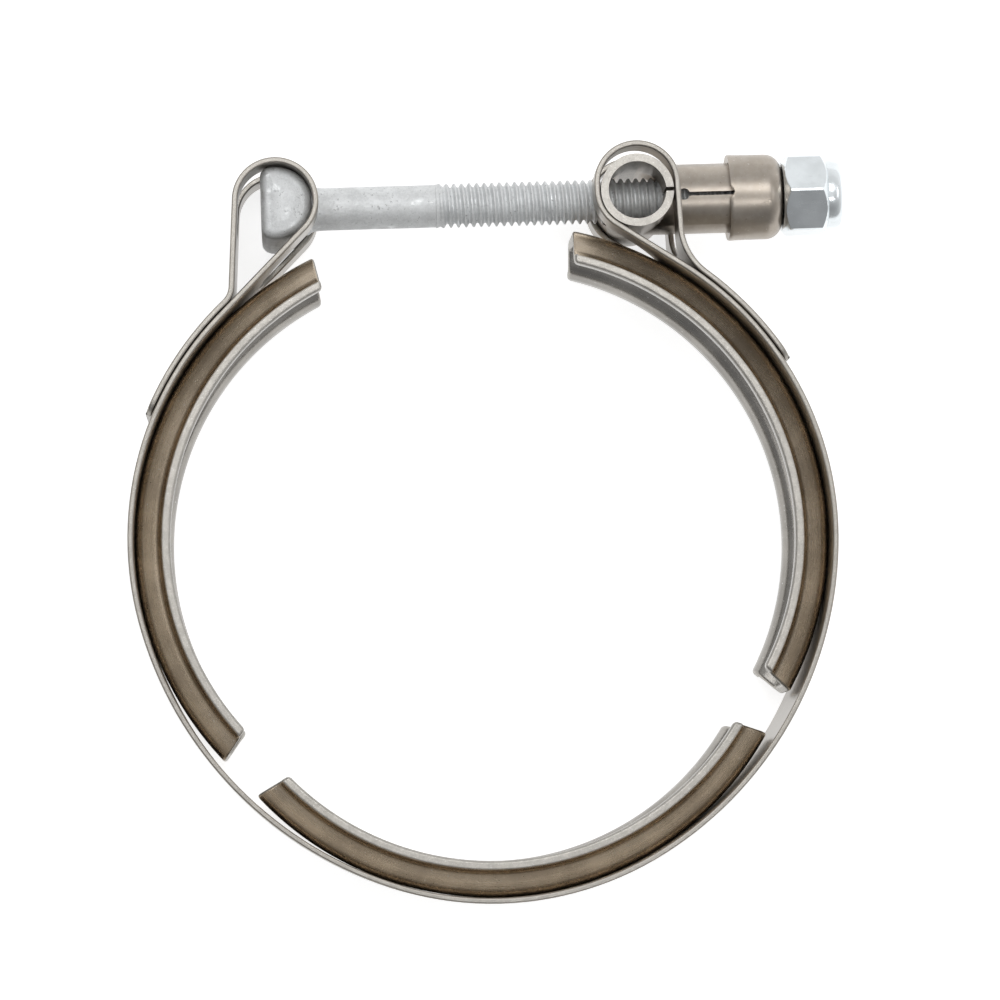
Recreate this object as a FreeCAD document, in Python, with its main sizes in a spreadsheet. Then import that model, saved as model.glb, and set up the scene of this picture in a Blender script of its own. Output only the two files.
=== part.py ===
"""V-band clamp, closed by a T-bolt: a ring of three V-section retainers spot-welded inside one spring
band, whose ends are folded into loops for the bolt's head and for the trunnion that the nut pulls on.

Millimetres. The ring's axis is Z. The origin is the centre of the bottom retainer, which is the centre
of the whole ring when the clamp is closed. The bolt lies along X, on the +Y side, with its nut at +X.
The clamp is drawn spread open, as it is slipped over its flanges: each jaw is the closed ring's,
turned outwards by the flexing of the band between two retainers.
"""
import FreeCAD, Part
import math
import os

import Sketcher

SIZES = [
    ("ring_radius", 41.5, "band's middle layer, clamp closed"),
    ("band_thickness", 0.75, "strip"),
    ("band_width", 19.0, "strip"),
    ("retainer_span", 108.4, "degrees of ring that a retainer's web covers"),
    ("retainer_gap", 8.5, "degrees between two retainers, closed"),
    ("weld_half_span", 25.0, "degrees from a retainer's middle to where the band flexes off it"),
    ("leg_angle", 33.5, "degrees from a jaw's middle to where the band leaves it for the loop"),
    ("open_left", 10.2, "degrees that the left jaw stands open"),
    ("open_right", 8.9, "degrees that the right jaw stands open"),
    ("lean", 5.0, "degrees from -Y to the bottom retainer's middle"),
    ("retainer_sheet", 1.3, "sheet of the retainers"),
    ("retainer_depth", 5.5, "band's outside to the lips' inside"),
    ("web_half_width", 3.9, "flat of the retainer's web, each side of the middle"),
    ("lip_half_width", 8.5, "middle of the retainer to the edge of its lip"),
    ("flank_slope", 20.0, "degrees of the V's flanks from the radius"),
    ("end_rake", 12.0, "degrees by which a retainer's ends lean in from the radius"),
    ("section_bend", 1.1, "bend radius of the sheet's middle layer"),
    ("seat_gap", 0.04, "between the band and what lies on it"),
    ("tail_gap", 0.08, "between the band and its own tails"),
    ("leg_length", 9.9, "straight leg from the right jaw to the trunnion's loop"),
    ("loop_radius", 4.85, "inside of both loops"),
    ("loop_slack", 0.9, "height by which the trunnion's loop is longer than round"),
    ("left_foot_shift", 1.8, "along the ring from where the left leg leaves it to its tail's foot"),
    ("left_foot_bend", 3.0, "bend of the left tail's foot"),
    ("left_tail_shift", -15.9, "along the ring from the left leg to its tail's end"),
    ("right_foot_shift", -3.3, "along the ring from where the right leg leaves it to its tail's foot"),
    ("right_foot_bend", 8.0, "bend of the right tail's foot"),
    ("right_tail_shift", -18.9, "along the ring from the right leg to its tail's end"),
    ("head_slot_width", 7.6, "slot in the left loop"),
    ("head_slot_inner_run", 5.2, "straight of the left slot on the leg from the ring"),
    ("head_slot_outer_run", 0.2, "straight of the left slot on the leg to the tail"),
    ("snout_slot_width", 10.0, "slot in the right loop"),
    ("snout_slot_inner_run", 2.3, "straight of the right slot on the leg from the ring"),
    ("snout_slot_outer_run", 3.5, "straight of the right slot on the leg to the tail"),
    ("tail_corner", 2.0, "rounding of the strip's end corners"),
    ("fit_gap", 0.1, "round the head and the barrel in their loops"),
    ("head_length", 16.4, "T-head along Z"),
    ("head_flat", 1.9, "head's axis to its flat back"),
    ("head_bevel", 1.2, "bevel of the head's ends"),
    ("shank_radius", 2.8, "plain shank"),
    ("thread_radius", 2.91, "outside of the M6 thread"),
    ("thread_start", 21.0, "head's axis to the thread"),
    ("tip_bevel", 0.6, "bevel of the thread's end"),
    ("tip_inset", 1.0, "nut's end to the bolt's tip, clamp open"),
    ("barrel_wall", 1.0, "sheet of the trunnion"),
    ("barrel_inset", 0.2, "barrel's end from the strip's edge"),
    ("snout_radius", 4.6, "outside of the two half shells"),
    ("snout_length", 18.6, "barrel's axis to the half shells' end"),
    ("slit_width", 0.5, "between the half shells"),
    ("keyhole_radius", 0.75, "widening of the slit beside the barrel"),
    ("keyhole_offset", 6.5, "barrel's axis to the widening"),
    ("bolt_hole_radius", 3.2, "holes that the bolt passes"),
    ("cap_radius", 5.65, "outside of the cap"),
    ("cap_wall", 1.0, "sheet of the cap"),
    ("cap_length", 7.1, "cap, rim to end"),
    ("cap_shoulder", 2.1, "rounding of the cap's closed end"),
    ("cap_fit", 0.03, "cap's bore over the half shells"),
    ("nut_flats", 9.8, "across the flats"),
    ("nut_length", 7.8, "whole nut"),
    ("nut_crown", 1.9, "domed locking end"),
    ("nut_chamfer", 30.0, "degrees of the hexagon's bevels from its end faces"),
    ("nut_step", 0.3, "how far the end faces lie inside the flats"),
    ("nut_lip", 0.5, "crown's rim round the thread"),
    ("nut_gap", 0.05, "nut to cap"),
    ("thread_gap", 0.05, "nut's bore round the thread"),
]

doc = FreeCAD.newDocument("v_band_clamp")
sheet = doc.addObject("Spreadsheet::Sheet", "sizes")
for row, (alias, value, note) in enumerate(SIZES, start=1):
    sheet.set(f"A{row}", note)
    sheet.set(f"B{row}", str(value))
    sheet.setAlias(f"B{row}", alias)
doc.recompute()
S = {alias: float(sheet.get(alias)) for alias, _, _ in SIZES}

EPSILON = 1e-5
CHORDS = 2  # straight steps that a turned part's rounding is made of
SPOKES = 6  # steps of the fan that cuts a slot round a loop


def vector(x, y, z=0.0):
    return FreeCAD.Vector(x, y, z)


def toward(degrees, length=1.0):
    """The vector of this length at this angle from +X, in the XY plane."""
    return vector(length * math.cos(math.radians(degrees)), length * math.sin(math.radians(degrees)))


# ---------------------------------------------------------------- paths of bent sheet
# A bent sheet's middle layer runs round circles joined by their common tangents. A circle is
# (centre, radius): the radius is positive where the sheet bends to the left, negative where it
# bends to the right, and 0 at a plain end.


def run_headings(circles, first, last):
    """Heading in degrees before and after each circle: the given ends and the tangents between."""
    headings = [first]
    for (here, bend), (there, next_bend) in zip(circles, circles[1:]):
        across = there - here
        sine = (bend - next_bend) / across.Length
        tilt = math.copysign(90, sine) if abs(sine) > 1 - EPSILON**2 else math.degrees(math.asin(sine))
        headings.append(math.degrees(math.atan2(across.y, across.x)) + tilt)
    return headings + [last]


def touch_point(circle, heading, shift):
    """Where the layer that lies shift to the left of the middle has this heading on the circle."""
    centre, bend = circle
    return centre + toward(heading - 90, bend - shift)


def layer(circles, headings, shift, faceted):
    """Arcs and lines of the layer that lies shift to the left of the middle one.

    A faceted layer has a chord for each bend.
    """
    curves, end = [], None
    for circle, heading, leaving in zip(circles, headings, headings[1:]):
        start = touch_point(circle, heading, shift)
        if end is not None and (start - end).Length > EPSILON:
            curves.append(Part.LineSegment(end, start))
        elif end is not None:
            start = end
        end = touch_point(circle, leaving, shift)
        turn = (leaving - heading) % 360 if circle[1] > 0 else -((heading - leaving) % 360)
        if circle[1] and (end - start).Length > EPSILON:
            middle = touch_point(circle, heading + turn / 2, shift)
            curves.append(Part.LineSegment(start, end) if faceted else Part.Arc(start, middle, end))
    return curves


def sheet_outline(circles, headings, thickness, faceted=False):
    """Closed outline of a bent sheet, from its middle layer."""
    left = layer(circles, headings, thickness / 2, faceted)
    right = layer(circles, headings, -thickness / 2, faceted)
    ends = [
        Part.LineSegment(*(touch_point(circles[n], headings[n], side * thickness / 2) for side in (-1, 1)))
        for n in (0, -1)
    ]
    return left + right + ends


# ---------------------------------------------------------------- the ring, open


def flexed_centre(side, opening):
    """Centre and middle angle of a jaw: side is -1 for the left one and 1 for the right one.

    Between two welds the band is one even bend, of the same length open as closed.
    """
    step = S["retainer_span"] + S["retainer_gap"]
    flex_closed = step - 2 * S["weld_half_span"]
    flex_open = flex_closed - opening
    flex_radius = S["ring_radius"] * flex_closed / flex_open
    leave = 270 + S["lean"] + side * S["weld_half_span"]
    arrive = leave + side * flex_open
    flex_centre = toward(leave, S["ring_radius"] - flex_radius)
    centre = flex_centre + toward(arrive, flex_radius - S["ring_radius"])
    return centre, arrive + side * S["weld_half_span"], flex_centre, flex_radius


left_centre, left_middle, left_flex, left_flex_radius = flexed_centre(-1, S["open_left"])
right_centre, right_middle, right_flex, right_flex_radius = flexed_centre(1, S["open_right"])
bottom_middle = 270 + S["lean"]

band_half = S["band_thickness"] / 2
loop_bend = S["loop_radius"] + band_half
tail_radius = S["ring_radius"] + S["band_thickness"] + S["tail_gap"]


def leg_start(centre, middle, side):
    """Centre of a loop with no leg, and the way along which a straight leg takes it off the jaw."""
    leave = middle + side * S["leg_angle"]
    return centre + toward(leave, S["ring_radius"] + loop_bend), toward(leave + side * 90)


left_start, left_way = leg_start(left_centre, left_middle, -1)
right_start, right_way = leg_start(right_centre, right_middle, 1)
barrel_at = right_start + right_way * S["leg_length"]
head_at = left_start + left_way * ((barrel_at.y - left_start.y) / left_way.y)
top_of_loop = barrel_at + vector(0, S["loop_slack"])


def tail_angle(side, name):
    """Degrees round the jaw from its middle to the foot or end of its tail."""
    return side * (S["leg_angle"] + math.degrees(S[name] / tail_radius))


def foot(centre, middle, side, name):
    """The bend at a tail's foot, whose centre is on the outside of the tail."""
    bend = S[f"{name}_foot_bend"]
    return centre + toward(middle + tail_angle(side, f"{name}_foot_shift"), tail_radius + bend), bend


def band_path():
    """Circles and headings of the strip's middle layer, from the left tail to the right one."""
    ring, jaw = S["ring_radius"], -tail_radius
    circles = [
        (left_centre, jaw),
        foot(left_centre, left_middle, -1, "left"),
        (head_at, -loop_bend),
        (left_centre, ring),
        (left_flex, left_flex_radius),
        (vector(0, 0), ring),
        (right_flex, right_flex_radius),
        (right_centre, ring),
        (barrel_at, -loop_bend),
        (top_of_loop, -loop_bend),
        foot(right_centre, right_middle, 1, "right"),
        (right_centre, jaw),
    ]
    first = left_middle + tail_angle(-1, "left_tail_shift") - 90
    last = right_middle + tail_angle(1, "right_tail_shift") - 90
    return circles, run_headings(circles, first, last)


# ---------------------------------------------------------------- document helpers


def new_body(name):
    body = doc.addObject("PartDesign::Body", name)
    body.Label = name
    return body


def new_sketch(body, name, role, curves=()):
    """A sketch on one of the body's own planes, with these curves."""
    sketch = body.newObject("Sketcher::SketchObject", name)
    plane = next(f for f in body.Origin.OriginFeatures if f.Role == role)
    sketch.AttachmentSupport = (plane, [""])
    sketch.MapMode = "FlatFace"
    if curves:
        sketch.addGeometry(list(curves), False)
    return sketch


def upright_sketch(body, name, at, heading, curves):
    """A sketch square to the XY plane, with its X along this heading from this point and its Y along Z."""
    sketch = new_sketch(body, name, "XZ_Plane", curves)
    base = FreeCAD.Placement(vector(0, 0), FreeCAD.Rotation(vector(1, 0, 0), 90))
    wanted = FreeCAD.Placement(at, FreeCAD.Rotation(vector(0, 0, 1), heading))
    sketch.AttachmentOffset = base.inverse() * wanted * base
    return sketch


def circle_sketch(body, name, role, radius, at=(0.0, 0.0)):
    """A sketch of one circle, whose radius is an expression of the sheet."""
    sketch = new_sketch(body, name, role)
    number = sketch.addGeometry(Part.Circle(vector(*at), vector(0, 0, 1), 1.0), False)
    sketch.addConstraint(Sketcher.Constraint("DistanceX", -1, 1, number, 3, at[0]))
    sketch.addConstraint(Sketcher.Constraint("DistanceY", -1, 1, number, 3, at[1]))
    turn = sketch.addConstraint(Sketcher.Constraint("Radius", number, 1.0))
    sketch.setExpression(f"Constraints[{turn}]", radius)
    return sketch


def polygon(points):
    """Closed outline through these points."""
    corners = [vector(p[0], p[1]) for p in points]
    return [Part.LineSegment(a, b) for a, b in zip(corners, corners[1:] + corners[:1])]


def extrude(body, kind, name, sketch, length, both_ways=True, turned=False):
    """A Pad or Pocket whose length is an expression of the sheet."""
    feature = body.newObject(f"PartDesign::{kind}", name)
    feature.Profile = sketch
    feature.Type = "Length"
    feature.setExpression("Length", length)
    feature.SideType = "Symmetric" if both_ways else "One side"
    feature.Reversed = turned
    body.Tip = feature
    return feature


def turned_about(body, kind, name, sketch, axis="H_Axis", angle="360"):
    """A Revolution or Groove about an axis of its sketch."""
    feature = body.newObject(f"PartDesign::{kind}", name)
    feature.Profile = sketch
    feature.ReferenceAxis = (sketch, [axis])
    feature.setExpression("Angle", angle)
    feature.Midplane = angle != "360"
    body.Tip = feature
    return feature


def dress(body, kind, name, base, picked, size):
    """A Fillet or Chamfer on the edges of base that picked() chooses."""
    doc.recompute()
    edges = [f"Edge{n}" for n, edge in enumerate(base.Shape.Edges, start=1) if picked(edge)]
    feature = body.newObject(f"PartDesign::{kind}", name)
    feature.Base = (base, edges)
    feature.setExpression("Radius" if kind == "Fillet" else "Size", size)
    body.Tip = feature
    return feature


# ---------------------------------------------------------------- sub-parts


def slot_end(run, width):
    """Outline of a slot's last stretch: straight for run, then a half round, in the strip's own plane."""
    half = width / 2
    return [
        Part.LineSegment(vector(0, half), vector(run, half)),
        Part.Arc(vector(run, half), vector(run + half, 0), vector(run, -half)),
        Part.LineSegment(vector(run, -half), vector(0, -half)),
        Part.LineSegment(vector(0, -half), vector(0, half)),
    ]


def cut_slot(body, name, circles, headings, inner_first):
    """A slot round a loop, from one straight leg to the other, for what the loop holds to pass through."""
    width, thick = f"sizes.{name}_width", "2 * sizes.band_thickness"
    into, out = headings[0], headings[-1]
    turn = (into - out) % 360
    fan = [
        circles[0 if n < SPOKES / 2 else -1][0] + toward(into + 90 - turn * n / SPOKES, 2 * loop_bend)
        for n in range(SPOKES + 1)
    ]
    corners = [circles[0][0], *fan, *(centre for centre, _ in circles[1:])]
    over = new_sketch(body, f"{name}_fan", "XY_Plane", polygon(corners))
    feature = extrude(body, "Pocket", name, over, width)
    for leg, circle, heading, away in (("in", circles[0], into, 180), ("out", circles[-1], out, 0)):
        inner = (leg == "in") == inner_first
        run = S[f"{name}_{'inner' if inner else 'outer'}_run"]
        start = touch_point(circle, heading, 0)
        stretch = slot_end(run, S[f"{name}_width"])
        end = upright_sketch(body, f"{name}_{leg}_end", start, heading + away, stretch)
        feature = extrude(body, "Pocket", f"{name}_{leg}", end, thick)
    return feature


def make_band():
    """One strip: two tails, two loops and the ring between, with a slot round each loop."""
    body = new_body("band")
    circles, headings = band_path()
    edge = sheet_outline(circles, headings, S["band_thickness"])
    outline = new_sketch(body, "strip_edge", "XY_Plane", edge)
    extrude(body, "Pad", "strip", outline, "sizes.band_width")
    cut_slot(body, "head_slot", circles[2:3], headings[2:4], inner_first=False)
    strip = cut_slot(body, "snout_slot", circles[8:10], headings[8:11], inner_first=True)

    def tail_corner(edge):
        flat = abs(abs(edge.CenterOfMass.z) - S["band_width"] / 2) < EPSILON
        return flat and abs(edge.Length - S["band_thickness"]) < EPSILON

    dress(body, "Fillet", "tail_ends", strip, tail_corner, "sizes.tail_corner")
    return body


def retainer_section():
    """The V section as a bent sheet: lip, flank, web, flank, lip. Radius along X, ring's axis along Y."""
    half = S["retainer_sheet"] / 2
    web = S["ring_radius"] - band_half - S["seat_gap"] - half
    lip = S["ring_radius"] + band_half - S["retainer_depth"] + half
    bend, slope = S["section_bend"], math.radians(S["flank_slope"])
    height = web - lip - 2 * bend
    run = (2 * bend + height * math.sin(slope)) / math.cos(slope)
    web_end, lip_end = S["web_half_width"], S["web_half_width"] + run
    circles = [
        (vector(lip, S["lip_half_width"]), 0.0),
        (vector(lip + bend, lip_end), bend),
        (vector(web - bend, web_end), -bend),
        (vector(web - bend, -web_end), -bend),
        (vector(lip + bend, -lip_end), bend),
        (vector(lip, -S["lip_half_width"]), 0.0),
    ]
    return sheet_outline(circles, run_headings(circles, -90, -90), S["retainer_sheet"], faceted=True)


def make_retainer(name, centre, middle):
    """A roll-formed V retainer, bent round its share of the ring."""
    body = new_body(name)
    section = new_sketch(body, f"{name}_section", "XZ_Plane", retainer_section())
    turned_about(body, "Revolution", f"{name}_arc", section, "V_Axis", "sizes.retainer_span")
    trims, depth = [], 2 * S["retainer_depth"]
    for side in (-1, 1):
        end, lean = side * S["retainer_span"] / 2, side * S["end_rake"]
        web = toward(end, S["ring_radius"])
        beyond = web + toward(end + side * 90, depth)
        trims += polygon([web, beyond, web - toward(end, depth), web - toward(end + lean, depth)])
    extrude(body, "Pocket", f"{name}_ends", new_sketch(body, f"{name}_rake", "XY_Plane", trims),
            "sizes.band_width")
    body.Placement = FreeCAD.Placement(centre, FreeCAD.Rotation(vector(0, 0, 1), middle))
    return body


def make_bolt():
    """T-bolt in one piece: half-round head across the end of a shank that is threaded to its tip."""
    body = new_body("t_bolt")
    radius = S["loop_radius"] - S["fit_gap"]
    flat = -S["head_flat"]
    corner = math.sqrt(radius**2 - flat**2)
    profile = [
        Part.Arc(vector(flat, corner), vector(radius, 0), vector(flat, -corner)),
        Part.LineSegment(vector(flat, -corner), vector(flat, corner)),
    ]
    face = new_sketch(body, "head_face", "XY_Plane", profile)
    head = extrude(body, "Pad", "head", face, "sizes.head_length")

    def head_end(edge):
        return all(abs(abs(v.Z) - S["head_length"] / 2) < EPSILON for v in edge.Vertexes)

    dress(body, "Chamfer", "head_ends", head, head_end, "sizes.head_bevel")
    tip = barrel_at.x - head_at.x + nut_end() - S["tip_inset"]
    start, bevel, shank, thread = S["thread_start"], S["tip_bevel"], S["shank_radius"], S["thread_radius"]
    shaft = polygon([
        (0, 0), (0, shank), (start, shank), (start + thread - shank, thread),
        (tip - bevel, thread), (tip, thread - bevel), (tip, 0),
    ])
    turned_about(body, "Revolution", "shaft", new_sketch(body, "shaft_profile", "XY_Plane", shaft))
    body.Placement.Base = head_at
    return body


def nut_start():
    return cap_end() + S["nut_gap"]


def nut_end():
    return nut_start() + S["nut_length"]


def cap_end():
    """The cap's closed end, over the end of the half shells."""
    return S["snout_length"] + S["cap_wall"] + S["seat_gap"]


def make_trunnion():
    """One sheet: a split barrel across the loop, whose edges run on as two half shells round the bolt."""
    body = new_body("trunnion")
    barrel_radius = "sizes.loop_radius - sizes.fit_gap"
    outside = circle_sketch(body, "barrel_outside", "XY_Plane", barrel_radius)
    extrude(body, "Pad", "barrel", outside, "sizes.band_width - 2 * sizes.barrel_inset")
    shells = circle_sketch(body, "shells_outside", "YZ_Plane", "sizes.snout_radius")
    extrude(body, "Pad", "shells", shells, "sizes.snout_length", both_ways=False)
    bore = circle_sketch(body, "barrel_bore", "XY_Plane", f"{barrel_radius} - sizes.barrel_wall")
    extrude(body, "Pocket", "bore", bore, "sizes.band_width")
    passage = circle_sketch(body, "shells_inside", "YZ_Plane", "sizes.snout_radius - sizes.barrel_wall")
    extrude(body, "Pocket", "passage", passage, "sizes.snout_length", both_ways=False, turned=True)
    hole = circle_sketch(body, "bolt_hole", "YZ_Plane", "sizes.bolt_hole_radius")
    extrude(body, "Pocket", "hole", hole, "2 * sizes.loop_radius", both_ways=False)
    half = S["slit_width"] / 2
    slit_end = 2 * S["snout_length"]
    slit = new_sketch(body, "slit_edge", "XY_Plane", polygon([
        (0, half), (slit_end, half), (slit_end, -half), (0, -half)]))
    extrude(body, "Pocket", "slit", slit, "sizes.band_width")
    keyhole = circle_sketch(body, "keyhole_edge", "XY_Plane", "sizes.keyhole_radius",
                            (S["keyhole_offset"], 0.0))
    extrude(body, "Pocket", "keyhole", keyhole, "sizes.band_width")
    body.Placement.Base = barrel_at
    return body


def rounding(x, radius, along, across):
    """Points of a quarter ellipse about (x, radius), from its widest to its furthest along X."""
    turns = [math.radians(90 * n / CHORDS) for n in range(CHORDS + 1)]
    return [(x + along * math.sin(turn), radius + across * math.cos(turn)) for turn in turns]


def make_cap():
    """Drawn cap pressed over the half shells, with a rounded end that the nut bears on."""
    body = new_body("trunnion_cap")
    end, rim = cap_end(), cap_end() - S["cap_length"]
    outer, inner = S["cap_radius"], S["snout_radius"] + S["cap_fit"]
    shoulder, wall, hole = S["cap_shoulder"], S["cap_wall"], S["bolt_hole_radius"]
    cup = polygon([
        (rim, inner), (rim, outer), *rounding(end - shoulder, outer - shoulder, shoulder, shoulder),
        (end, hole), (end - wall, hole), (end - wall, inner),
    ])
    turned_about(body, "Revolution", "cup", new_sketch(body, "cup_profile", "XY_Plane", cup))
    body.Placement.Base = barrel_at
    return body


def make_nut():
    """Hexagon lock nut, bevelled at its bearing end and crimped to a crown at the other."""
    body = new_body("lock_nut")
    corner = S["nut_flats"] / math.sqrt(3)
    hexagon = new_sketch(body, "hexagon", "YZ_Plane", polygon([
        toward(60 * n + 90, corner) for n in range(6)]))
    extrude(body, "Pad", "blank", hexagon, "sizes.nut_length", both_ways=False)
    length, free, face = S["nut_length"], 2 * corner, S["nut_flats"] / 2 - S["nut_step"]
    rise, top = (free - face) * math.tan(math.radians(S["nut_chamfer"])), length - S["nut_crown"]
    bevel = polygon([(-length, face), (0, face), (rise, free), (-length, free)])
    turned_about(body, "Groove", "bearing_bevel", new_sketch(body, "bevel_edge", "XY_Plane", bevel))
    lip = S["thread_radius"] + S["nut_lip"]
    dome = polygon([
        (top - rise, free), *rounding(top, lip, S["nut_crown"], face - lip),
        (2 * length, lip), (2 * length, free),
    ])
    turned_about(body, "Groove", "crown", new_sketch(body, "crown_edge", "XY_Plane", dome))
    bore = circle_sketch(body, "bore_edge", "YZ_Plane", "sizes.thread_radius + sizes.thread_gap")
    extrude(body, "Pocket", "bore_hole", bore, "sizes.nut_length", both_ways=False, turned=True)
    body.Placement.Base = barrel_at + vector(nut_start(), 0)
    return body


def main():
    """Build every sub-part, check it and write it."""
    parts = [
        make_band(),
        make_retainer("v_segment_bottom", vector(0, 0), bottom_middle),
        make_retainer("v_segment_left", left_centre, left_middle),
        make_retainer("v_segment_right", right_centre, right_middle),
        make_bolt(),
        make_trunnion(),
        make_cap(),
        make_nut(),
    ]
    doc.recompute()
    failed = [o.Name for o in doc.Objects if "Invalid" in o.State or "Error" in o.State]
    failed += [p.Label for p in parts if p.Shape.isNull() or not p.Shape.isValid()]
    if failed:
        raise RuntimeError("not built: " + ", ".join(failed))
    os.makedirs("parts", exist_ok=True)
    for part in parts:
        part.Shape.exportStep(f"parts/{part.Label}.step")
        box = part.Shape.BoundBox
        print(f"{part.Label}: {len(part.Shape.Solids)} solid, {part.Shape.Volume:.1f} mm3, {box}")


main()
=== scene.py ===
"""V-band clamp with a T-bolt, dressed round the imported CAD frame.

The clamp lies on its edge, spread open. The ring's axis is Z, the bolt lies along X on the +Y side.
"""

import bmesh
import bpy
import numpy as np
from bpy.props import FloatProperty, FloatVectorProperty, PointerProperty
from bpy.types import Operator, Panel, PropertyGroup
from mathutils import Euler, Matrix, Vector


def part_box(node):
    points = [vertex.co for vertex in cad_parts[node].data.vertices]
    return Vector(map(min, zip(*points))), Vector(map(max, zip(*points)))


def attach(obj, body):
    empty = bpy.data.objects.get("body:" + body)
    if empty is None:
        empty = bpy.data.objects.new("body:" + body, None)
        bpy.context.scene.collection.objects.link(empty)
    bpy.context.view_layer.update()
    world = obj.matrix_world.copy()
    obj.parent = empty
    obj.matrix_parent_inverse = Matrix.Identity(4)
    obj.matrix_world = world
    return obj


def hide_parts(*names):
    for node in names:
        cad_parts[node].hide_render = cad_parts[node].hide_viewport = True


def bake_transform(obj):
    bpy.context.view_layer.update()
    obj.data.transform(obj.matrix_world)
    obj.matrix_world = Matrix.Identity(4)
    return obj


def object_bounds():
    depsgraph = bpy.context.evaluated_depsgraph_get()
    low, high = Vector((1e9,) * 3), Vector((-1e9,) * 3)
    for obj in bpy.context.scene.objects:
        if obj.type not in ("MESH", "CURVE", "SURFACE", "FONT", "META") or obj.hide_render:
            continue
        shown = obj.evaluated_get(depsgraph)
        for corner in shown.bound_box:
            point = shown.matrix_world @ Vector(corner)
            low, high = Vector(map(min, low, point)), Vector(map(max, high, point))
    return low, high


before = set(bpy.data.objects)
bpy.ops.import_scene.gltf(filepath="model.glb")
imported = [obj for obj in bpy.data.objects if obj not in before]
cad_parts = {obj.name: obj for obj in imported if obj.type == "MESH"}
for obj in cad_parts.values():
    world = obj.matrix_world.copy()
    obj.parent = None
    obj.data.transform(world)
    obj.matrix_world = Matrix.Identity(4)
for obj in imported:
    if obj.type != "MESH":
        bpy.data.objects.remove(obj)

bl_info = {
    "name": "V-band clamp",
    "version": (1, 0, 0),
    "blender": (4, 5, 0),
    "location": "3D View > Sidebar > Clamp",
    "description": "Builds a T-bolt V-band clamp and a pale table for it",
    "category": "Add Mesh",
}

CAD_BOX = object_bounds()
MM = 0.001
TINY = 1e-9

# The table is a square; its top lies this far under the clamp.
TABLE_HALF, TABLE_GAP = 1.5, 0.02 * MM
# Place, turn in degrees, width, depth, power in watts.
LAMPS = {
    "key": ((-0.06, 0.29, 0.78), (-20, -4, 0), 0.7, 0.3, 1.7),
    "strip": ((0.12, -0.25, 0.78), (19, 7, 0), 0.3, 0.04, 0.48),
    "left": ((-0.5, 0.05, 0.6), (0, -40, -5), 0.10, 0.4, 0.3),
    "right": ((0.5, 0.05, 0.6), (0, 40, 5), 0.10, 0.4, 0.2),
}
CAMERA_PLACE, CAMERA_TURN = (-0.02541, -0.03661, 0.56043), (4.912, -2.613, -2.039)
CAMERA_LENS, CAMERA_SENSOR, CAMERA_CLIP = 154.8, 36, (0.01, 10)

# Spot welds along each retainer.
WELDS = 3

# ---------------------------------------------------------------- sizes and colours


def length(name, text, millimetres):
    return FloatProperty(
        name=name, description=text, default=millimetres * MM, unit="LENGTH", precision=5)


def angle(name, text, degrees):
    return FloatProperty(
        name=name, description=text, default=np.radians(degrees), unit="ROTATION", subtype="ANGLE")


def colour(name, text, *rgb):
    return FloatVectorProperty(
        name=name, description=text, default=rgb, size=3, subtype="COLOR", min=0, max=1)


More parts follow.
